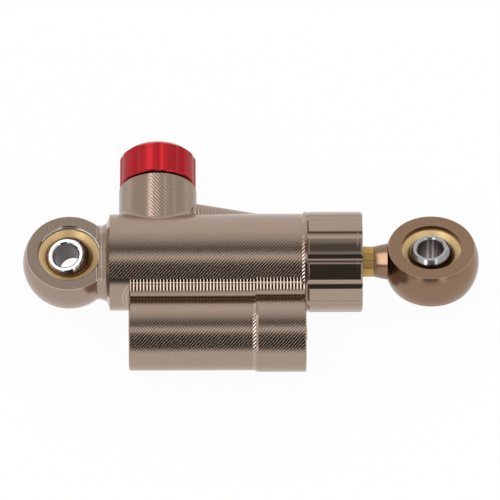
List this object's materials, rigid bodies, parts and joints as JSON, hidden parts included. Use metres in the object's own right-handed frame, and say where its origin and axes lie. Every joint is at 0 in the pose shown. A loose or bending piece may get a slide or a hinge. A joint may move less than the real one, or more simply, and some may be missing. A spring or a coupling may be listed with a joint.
{
  "type": "steering damper",
  "caption": "Rod-type motorcycle steering damper with spherical eyes, a side reservoir with a floating piston and an adjuster knob on a needle valve.",
  "frame": {"origin": "centre of the body eye's ball", "axes": "+X along the rod to the rod eye, +Y towards the adjuster knob and away from the reservoir, +Z along the axis of the body eye's seat"},
  "size_m": [0.1398, 0.0743, 0.0308],
  "materials": {
    "body_anodised": "bronze-grey anodised, turned and milled",
    "eye_bronze": "bronze anodised, turned",
    "rod_gold": "gold hard coating, polished",
    "race_brass": "satin",
    "ball_steel": "polished",
    "dark_steel": "blackened",
    "plain_steel": "machined",
    "knob_red": "bright red anodised",
    "valve_brass": "machined",
    "seal_rubber": "matte",
    "guide_plastic": "matte"
  },
  "bodies": {
    "cylinder": {"body_eye": "body_anodised", "body_race": "race_brass", "body_snap_ring": "dark_steel", "eye_oring": "seal_rubber", "cylinder_body": "body_anodised", "gallery_plug": "body_anodised", "gland_cap": "body_anodised", "gland_oring": "seal_rubber", "rod_bushing": "race_brass", "seal_washer": "guide_plastic", "rod_seal": "seal_rubber", "gland_circlip": "dark_steel", "rod_wiper": "seal_rubber", "valve_cartridge": "valve_brass", "cartridge_oring": "seal_rubber", "spindle_circlip": "dark_steel", "click_spring": "plain_steel", "stop_pin": "dark_steel", "knob_seal": "seal_rubber", "float_spring": "dark_steel", "end_plug": "body_anodised", "plug_oring": "seal_rubber", "reservoir_circlip": "dark_steel", "bleed_screw": "valve_brass", "bleed_washer": "seal_rubber"},
    "body_ball": {"body_ball": "ball_steel"},
    "band": {"piston_band": "guide_plastic"},
    "rod": {"rod": "rod_gold", "piston": "plain_steel", "piston_oring": "seal_rubber", "piston_shims": "dark_steel", "piston_nut": "dark_steel", "stroke_spacer": "plain_steel", "stroke_bumper": "seal_rubber", "rod_eye": "eye_bronze", "rod_race": "race_brass", "rod_snap_ring": "dark_steel"},
    "rod_ball": {"rod_ball": "ball_steel"},
    "float": {"floating_piston": "plain_steel", "float_oring": "seal_rubber"},
    "knob": {"knob": "knob_red", "knob_screw": "dark_steel", "spindle": "plain_steel", "spindle_oring": "seal_rubber"},
    "needle": {"needle": "valve_brass"}
  },
  "joints": [
    {"name": "body_ball_tilt", "type": "hinge", "parent": "cylinder", "child": "body_ball", "pos_m": [0, 0, 0], "axis": [0.5519, -0.8339, 0], "range_deg": [-25.9, 2.1]},
    {"name": "rod_slide", "type": "slide", "parent": "cylinder", "child": "band", "axis": [1, 0, 0], "range_m": [0, 0.033]},
    {"name": "rod_swivel", "type": "hinge", "parent": "band", "child": "rod", "pos_m": [0.05, 0, 0], "axis": [1, 0, 0], "continuous": true},
    {"name": "rod_ball_tilt", "type": "hinge", "parent": "rod", "child": "rod_ball", "pos_m": [0.11099, 0, 0], "axis": [0, 0.9736, -0.2284], "range_deg": [-10.5, 17.5]},
    {"name": "float_slide", "type": "slide", "parent": "cylinder", "child": "float", "axis": [-1, 0, 0], "range_m": [0, 0.00826], "deforming": ["float_spring"]},
    {"name": "knob_turn", "type": "hinge", "parent": "cylinder", "child": "knob", "pos_m": [0.0271, 0.0253, 0], "axis": [0, 1, 0], "range_deg": [0, 340], "deforming": ["click_spring"]},
    {"name": "needle_lift", "type": "slide", "parent": "knob", "child": "needle", "axis": [0, 1, 0], "range_m": [0, 0.00142]}
  ],
  "couplings": [
    {"joint": "float_slide", "follows": "rod_slide", "ratio": 0.25},
    {"joint": "needle_lift", "follows": "knob_turn", "m_per_rad": 0.00023873}
  ]
}
